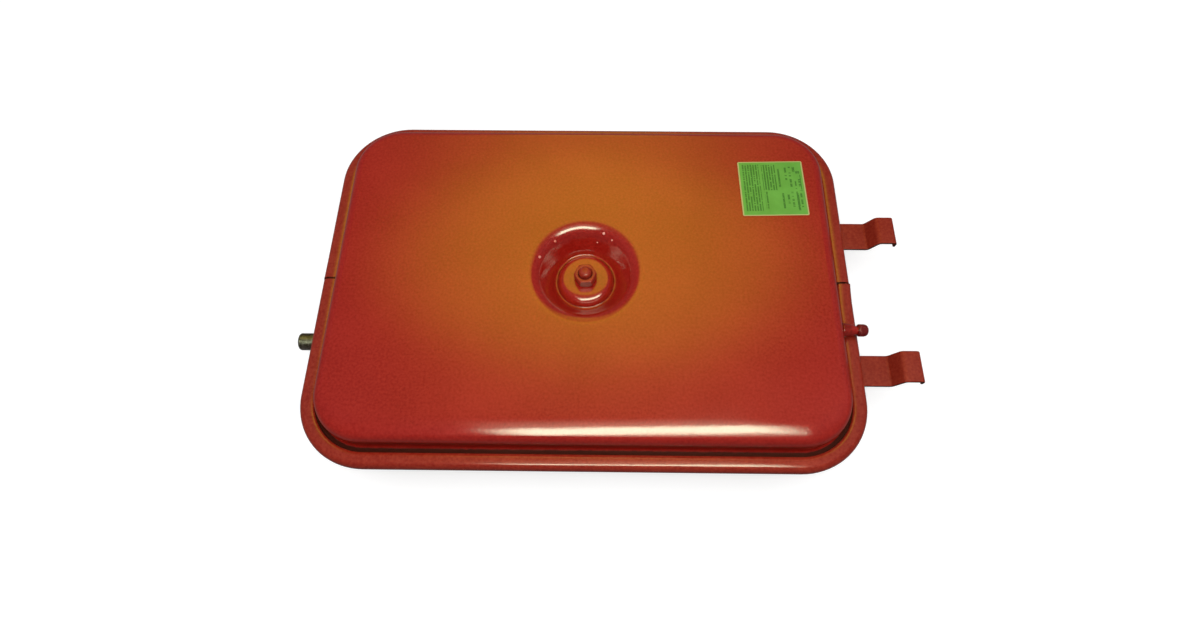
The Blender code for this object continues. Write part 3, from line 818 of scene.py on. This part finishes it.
# The band's enamel is a more orange copy of the pan's: painted sheen for the whitish light its rounded
# top reflects.
RING_PAINT = paint("orange_red_enamel_with_painted_sheen_on_band", (0.265, 0.019, 0.008), PAINTED_SHADE_COLOUR, 0.36,
                   coat=0.72, peel=1.4, specular=0.12)
NUT_PAINT = paint("orange_red_enamel_on_nut", (0.270, 0.022, 0.009), PAINTED_SHADE_COLOUR, 0.38,
                  coat=0.22, peel=0.8, specular=0.2)
# The nibs' pale colour is a painted highlight, standing in for the glints of light on them.
NIB_HIGHLIGHT_PAINT = paint("nib_paint_with_painted_highlight", (0.82, 0.36, 0.28), (0.5, 0.2, 0.15), 0.30, coat=0.6)
# The straps' enamel is a darker copy of the pan's: painted shade for how the straps are lit.
STRAP_PAINT = paint("orange_red_enamel_with_painted_shade_on_straps", (0.225, 0.0175, 0.0075), PAINTED_SHADE_COLOUR, 0.50,
                    specular=0.2)
CAP_PLASTIC = paint("dark_red_moulded_cap", (0.130, 0.0070, 0.0075), (0.02, 0.002, 0.002), 0.30,
                    peel=0.5)
ZINC = metal("dulled_zinc_plate", (0.36, 0.33, 0.29), (0.10, 0.085, 0.07), 0.36)
STEEL = metal("plain_steel", (0.50, 0.50, 0.50), (0.32, 0.32, 0.32), 0.30)
BRASS = metal("machined_brass", (0.72, 0.50, 0.20), (0.50, 0.33, 0.12), 0.28)
RUBBER = matt("epdm_rubber", (0.022, 0.022, 0.023), 0.72)
SEAL_RUBBER = matt("seal_rubber", (0.03, 0.03, 0.03), 0.6)
FIBRE = matt("vulcanised_fibre", (0.33, 0.07, 0.04), 0.75, 1200.0)
LABEL_PRINT = label_print("printed_green_label")


def finish(obj, body, material, node=None):
    """Gives a piece its material and body, and hides the CAD node that it stands for."""
    obj.data.materials.clear()
    obj.data.materials.append(material)
    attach(obj, body)
    if node:
        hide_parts(node)
    return obj


def dish_height(radius):
    """Height and inward slope angle, in radians, of the dish wall at this radius."""
    points = dish_profile(FRONT_FACE)
    for (r0, z0), (r1, z1) in zip(points, points[1:]):
        if r1 <= radius <= r0 and r0 - r1 > 1e-6:
            share = (r0 - radius) / (r0 - r1)
            return z0 + (z1 - z0) * share, atan2(z0 - z1, r0 - r1)
    raise ValueError("no such radius in the dish")


NIB_HEIGHT, NIB_SINK = 0.7, 0.12
NIBS = ((161.1, 45.8, 1.5), (132.0, 43.9, 1.3), (67.6, 44.7, 1.5), (54.5, 42.9, 1.0),
        (73.2, 37.9, 0.8))  # degrees round the dish, distance from its middle, radius


def paint_nib(name, around, radius, size):
    """A droplet of paint dried on the dish wall, coloured pale as a painted highlight."""
    height, slope = dish_height(radius)
    rings, steps = 6, 14
    verts = []
    for i in range(rings):
        t = i / (rings - 1)
        r = size * (1 - t) + 0.02
        z = size * NIB_HEIGHT * (1 - (1 - t) ** 2) ** 0.5 - NIB_SINK
        verts += [(r * cos(2 * pi * k / steps), r * sin(2 * pi * k / steps), z)
                  for k in range(steps)]
    faces = grid_faces(rings, steps, False, True)
    faces += [tuple(range(steps))[::-1], tuple(range((rings - 1) * steps, rings * steps))]
    turn = Matrix.Rotation(radians(around), 3, "Z") @ Matrix.Rotation(-slope, 3, "Y")
    at = Vector((radius * cos(radians(around)), radius * sin(radians(around)), height))
    obj = from_arrays(name, [tuple(turn @ Vector(v) + at) for v in verts], faces)
    set_mask(obj, "painted_shade", np.zeros(len(verts)))
    outward_keep(obj)
    return finish(obj, "vessel", NIB_HIGHLIGHT_PAINT)


# ---------------------------------------------------------------- pieces

pan("front_pan", FRONT_FACE, FRONT_BENDS, 1, "front_shell", 1.0)
pan("back_pan", BACK_FACE, BACK_BENDS, -1, "back_shell", 7.0)
band_half("rim_band_far", 1, "clamp_ring_far")
band_half("rim_band_near", -1, "clamp_ring_near")
nut("front_nut", "tie_nut_front")
nut("back_nut", "tie_nut_back")
stud("tie_stud_threaded", "tie_stud")
water_stub("water_stub_threaded", "water_stub")
valve_stem("air_valve_stem", "valve_stem")
dust_cap("air_valve_cap", "valve_dust_cap")
bracket("bracket_far_strap", "bracket_far")
bracket("bracket_near_strap", "bracket_near")
label("rating_label_sheet", "rating_label")
for nib_index, nib in enumerate(NIBS):
    paint_nib(f"paint_nib_{nib_index + 1}", *nib)

KEPT = {"diaphragm": RUBBER, "tie_spacer": STEEL, "tie_seal_front": FIBRE, "tie_seal_back": FIBRE,
        "valve_core_barrel": BRASS, "valve_core_pin": BRASS, "valve_core_gasket": SEAL_RUBBER,
        "valve_seat_seal": SEAL_RUBBER, "valve_core_spring": STEEL, "dust_cap_gasket": SEAL_RUBBER}
for node_name, node_material in KEPT.items():
    for node_slot in frame["nodes"][node_name].material_slots:
        node_slot.material = node_material


# ---------------------------------------------------------------- floor, lights, camera

FLOOR_SIZE, FLOOR_GLOW = 60, 0.70
WORLD_SEEN, WORLD_LIGHT, WORLD_STRENGTH = (0.88, 0.88, 0.88), (1.0, 0.97, 0.93), 0.16
# Name, place, aim, disk size and watts of each soft light.
LIGHTS = (("flash", (0.005, -0.28, 0.672), (-0.017, 0.0, 0.07), 0.15, 1.2),
          ("top_fill", (0.0, -0.2, 2.3), (0.0, 0.0, 0.0), 2.6, 18.2),
          ("left_fill", (-0.95, 0.1, 0.95), (-0.25, 0.0, 0.07), 0.9, 6.0),
          ("right_fill", (0.95, 0.1, 0.95), (0.25, 0.0, 0.07), 0.9, 5.7))
WARM_CARD, WARM_AT = ((-1.7, -0.3), (1.7, 5.0)), (0.0, 0.0, 1.2)
WARM_COLOUR, WARM_STRENGTH = (1.0, 0.87, 0.02), 2.75
POOL_SHARE, COLUMN_SHARE = 0.46, 0.54
BOX_CARD, BOX_AT, BOX_AIM = ((-0.34, -0.15), (0.34, 0.36)), (0.07, -0.285, 0.69), (-0.017, 0.0, 0.07)
BOX_COLOUR, BOX_STRENGTH = (0.84, 1.0, 0.72), 19.0
CAMERA_AT, CAMERA_TURN = (0.0048, -0.2753, 0.6166), (0.40086, 0.00444, 0.01223)
CAMERA_LENS, CAMERA_SENSOR = 19.435, 36.0


def floor():
    """A pale floor that glows a little, so that it looks even, and lights nothing."""
    bpy.ops.mesh.primitive_plane_add(size=FLOOR_SIZE)
    plane = bpy.context.object
    plane.name = "floor"
    g = Graph("pale_floor")
    tone = g.mix(g.remap(g.noise(3.0, 3.0), 0.3, 0.7, 0.0, 1.0), rgb(0.41, 0.41, 0.41),
                 rgb(0.43, 0.43, 0.43))
    g.set(Base_Color=tone, Roughness=0.8, Emission_Color=rgb(1.0, 1.0, 1.0),
          Emission_Strength=FLOOR_GLOW, Specular_IOR_Level=0.1)
    plane.data.materials.append(g.material)
    plane.visible_glossy = False
    plane.visible_diffuse = False


def aim(obj, at, towards):
    obj.location = at
    obj.rotation_euler = (Vector(towards) - Vector(at)).to_track_quat("-Z", "Y").to_euler()


def soft_light(name, at, towards, size, power):
    """A disk light that casts no reflection of itself."""
    light = bpy.data.lights.new(name, "AREA")
    light.shape = "DISK"
    light.size = size
    light.energy = power
    obj = bpy.data.objects.new(name, light)
    aim(obj, at, towards)
    obj.visible_camera = False
    obj.visible_glossy = False
    bpy.context.scene.collection.objects.link(obj)


def glow_card(name, corners, at, towards, colour, strength, pattern):
    """A see-through mesh light that only glossy surfaces see.

    `pattern` gives its brightness from its own x and y in metres. With no `towards` it lies level.
    """
    mesh = bpy.data.meshes.new(name)
    (x0, y0), (x1, y1) = corners
    mesh.from_pydata([(x0, y0, 0), (x1, y0, 0), (x1, y1, 0), (x0, y1, 0)], [], [(0, 1, 2, 3)])
    card = bpy.data.objects.new(name, mesh)
    card.location = at
    if towards:
        aim(card, at, towards)
    bpy.context.scene.collection.objects.link(card)
    g = Graph(name)
    split = g.node("ShaderNodeSeparateXYZ")
    g.link(g.place, split.inputs[0])
    emit = g.node("ShaderNodeEmission")
    emit.inputs["Color"].default_value = rgb(*colour)
    brightness = pattern(g, split.outputs[0], split.outputs[1])
    g.link(g.math("MULTIPLY", brightness, strength), emit.inputs["Strength"])
    both = g.node("ShaderNodeAddShader")
    g.link(emit.outputs[0], both.inputs[0])
    g.link(g.node("ShaderNodeBsdfTransparent").outputs[0], both.inputs[1])
    out = next(n for n in g.tree.nodes if n.type == "OUTPUT_MATERIAL")
    g.tree.links.new(both.outputs[0], out.inputs["Surface"])
    mesh.materials.append(g.material)
    card.visible_camera = False
    card.visible_diffuse = False
    card.visible_shadow = False


def warm_pattern(g, x, y):
    """A soft column of light with a brighter pool in it."""
    def lobe(middle, width, power):
        across = g.math("POWER", g.math("DIVIDE", g.math("SUBTRACT", x, middle[0]), width[0]), 2.0)
        along = g.math("POWER", g.math("DIVIDE", g.math("SUBTRACT", y, middle[1]), width[1]), 2.0)
        fall = g.math("POWER", g.math("ADD", across, along), power)
        return g.math("EXPONENT", g.math("MULTIPLY", fall, -1.0))

    pool = lobe((-0.031, 0.625), (0.600, 0.350), 3.0)
    column = g.math("MULTIPLY", lobe((-0.036, 2.5), (0.485, 4.0), 1.32),
                    g.remap(y, 0.0, 0.60, 0.25, 1.0, "SMOOTHSTEP"))
    return g.math("ADD", g.math("MULTIPLY", pool, POOL_SHARE),
                  g.math("MULTIPLY", column, COLUMN_SHARE))


def soft_box_pattern(g, x, y):
    """Even light in a wide box, and a faint glow above it."""
    across = g.remap(g.math("ABSOLUTE", x), 0.20, 0.33, 1.0, 0.0, "SMOOTHSTEP")
    along = g.remap(g.math("ABSOLUTE", y), 0.035, 0.13, 1.0, 0.0, "SMOOTHSTEP")
    glow = g.math("MULTIPLY", g.remap(y, 0.08, 0.34, 0.14, 0.0, "SMOOTHSTEP"), across)
    return g.math("ADD", g.math("MULTIPLY", across, along), glow)


def world():
    """A near-white surround for the camera and a dimmer, warmer one for everything else."""
    made = bpy.data.worlds.new("studio")
    bpy.context.scene.world = made
    made.use_nodes = True
    tree = made.node_tree
    tree.nodes.clear()
    out = tree.nodes.new("ShaderNodeOutputWorld")
    seen = tree.nodes.new("ShaderNodeBackground")
    lighting = tree.nodes.new("ShaderNodeBackground")
    ways = tree.nodes.new("ShaderNodeLightPath")
    pick = tree.nodes.new("ShaderNodeMixShader")
    seen.inputs["Color"].default_value = rgb(*WORLD_SEEN)
    lighting.inputs["Color"].default_value = rgb(*WORLD_LIGHT)
    lighting.inputs["Strength"].default_value = WORLD_STRENGTH
    tree.links.new(ways.outputs["Is Camera Ray"], pick.inputs[0])
    tree.links.new(lighting.outputs[0], pick.inputs[1])
    tree.links.new(seen.outputs[0], pick.inputs[2])
    tree.links.new(pick.outputs[0], out.inputs["Surface"])


def camera():
    data = bpy.data.cameras.new("camera")
    data.lens, data.sensor_width = CAMERA_LENS, CAMERA_SENSOR
    data.clip_start, data.clip_end = 0.01, 50.0
    obj = bpy.data.objects.new("camera", data)
    obj.location, obj.rotation_euler = CAMERA_AT, CAMERA_TURN
    bpy.context.scene.collection.objects.link(obj)
    bpy.context.scene.camera = obj


floor()
for light_settings in LIGHTS:
    soft_light(*light_settings)
glow_card("warm_panel", WARM_CARD, WARM_AT, None, WARM_COLOUR, WARM_STRENGTH, warm_pattern)
glow_card("soft_box", BOX_CARD, BOX_AT, BOX_AIM, BOX_COLOUR, BOX_STRENGTH, soft_box_pattern)
world()
camera()
bpy.context.scene.view_settings.view_transform = "Standard"
